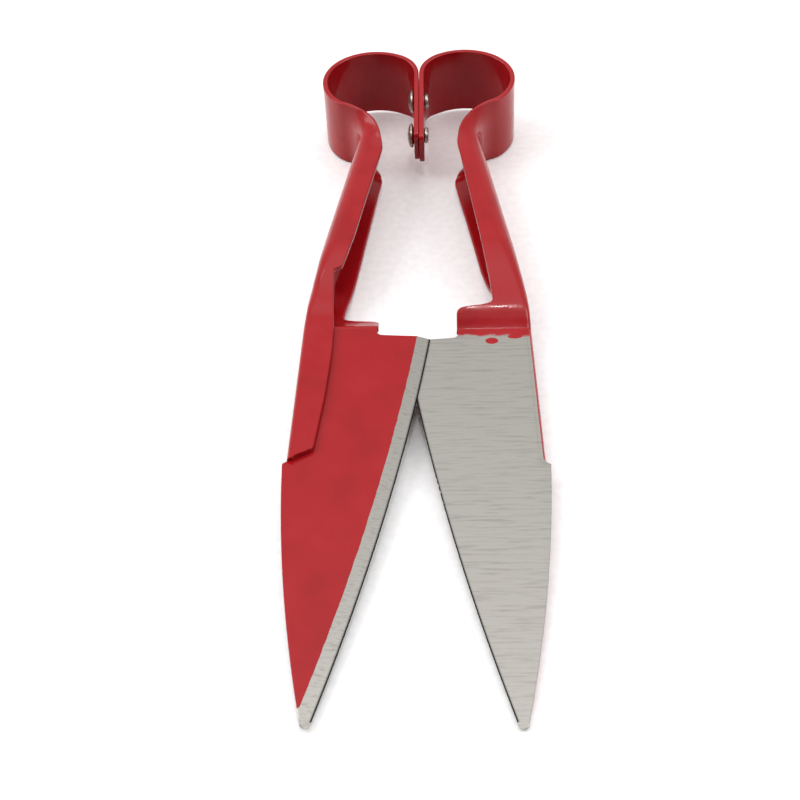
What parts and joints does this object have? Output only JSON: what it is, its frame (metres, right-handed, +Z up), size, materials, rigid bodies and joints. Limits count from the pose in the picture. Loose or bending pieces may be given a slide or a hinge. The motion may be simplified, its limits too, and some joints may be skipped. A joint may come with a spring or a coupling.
{
  "type": "one-hand spring shears",
  "caption": "One-hand spring shears pressed from sheet steel: heart-shaped double bow, channel grips folded inwards and broad pointed blades with a bevel ground along each cutting edge.",
  "frame": {"origin": "middle of the tool's box, on the surface that it lies on", "axes": "+Y from the blade tips to the bow along the tool, +Z up from the surface, +X to the right half"},
  "size_m": [0.091, 0.3147, 0.032],
  "materials": {
    "red_enamel": "glossy sprayed enamel over pressed spring steel",
    "ground_steel": "flat ground across the blade; outer face enamelled red up to the bevel",
    "rivet_steel": "bright drawn steel rivet"
  },
  "bodies": {
    "spine": {"left_bow": "red_enamel", "right_bow": "red_enamel", "rear_rivet": "rivet_steel", "front_rivet": "rivet_steel"},
    "left_arm": {"left_grip": "red_enamel", "left_blade": "ground_steel"},
    "right_arm": {"right_grip": "red_enamel", "right_blade": "ground_steel"}
  },
  "joints": [
    {"name": "left_squeeze", "type": "hinge", "parent": "spine", "child": "left_arm", "pos_m": [-0.02045, 0.13658, 0.0161], "axis": [0, -0.0479, 0.9989], "range_deg": [0, 6.2], "stiffness_Nm_per_rad": 25, "deforming": ["left_bow"]},
    {"name": "right_squeeze", "type": "hinge", "parent": "spine", "child": "right_arm", "pos_m": [0.02045, 0.13658, 0.0161], "axis": [0, -0.0479, 0.9989], "range_deg": [-6.2, 0], "stiffness_Nm_per_rad": 25, "deforming": ["right_bow"]}
  ],
  "couplings": [
    {"joint": "right_squeeze", "follows": "left_squeeze", "ratio": -1}
  ]
}
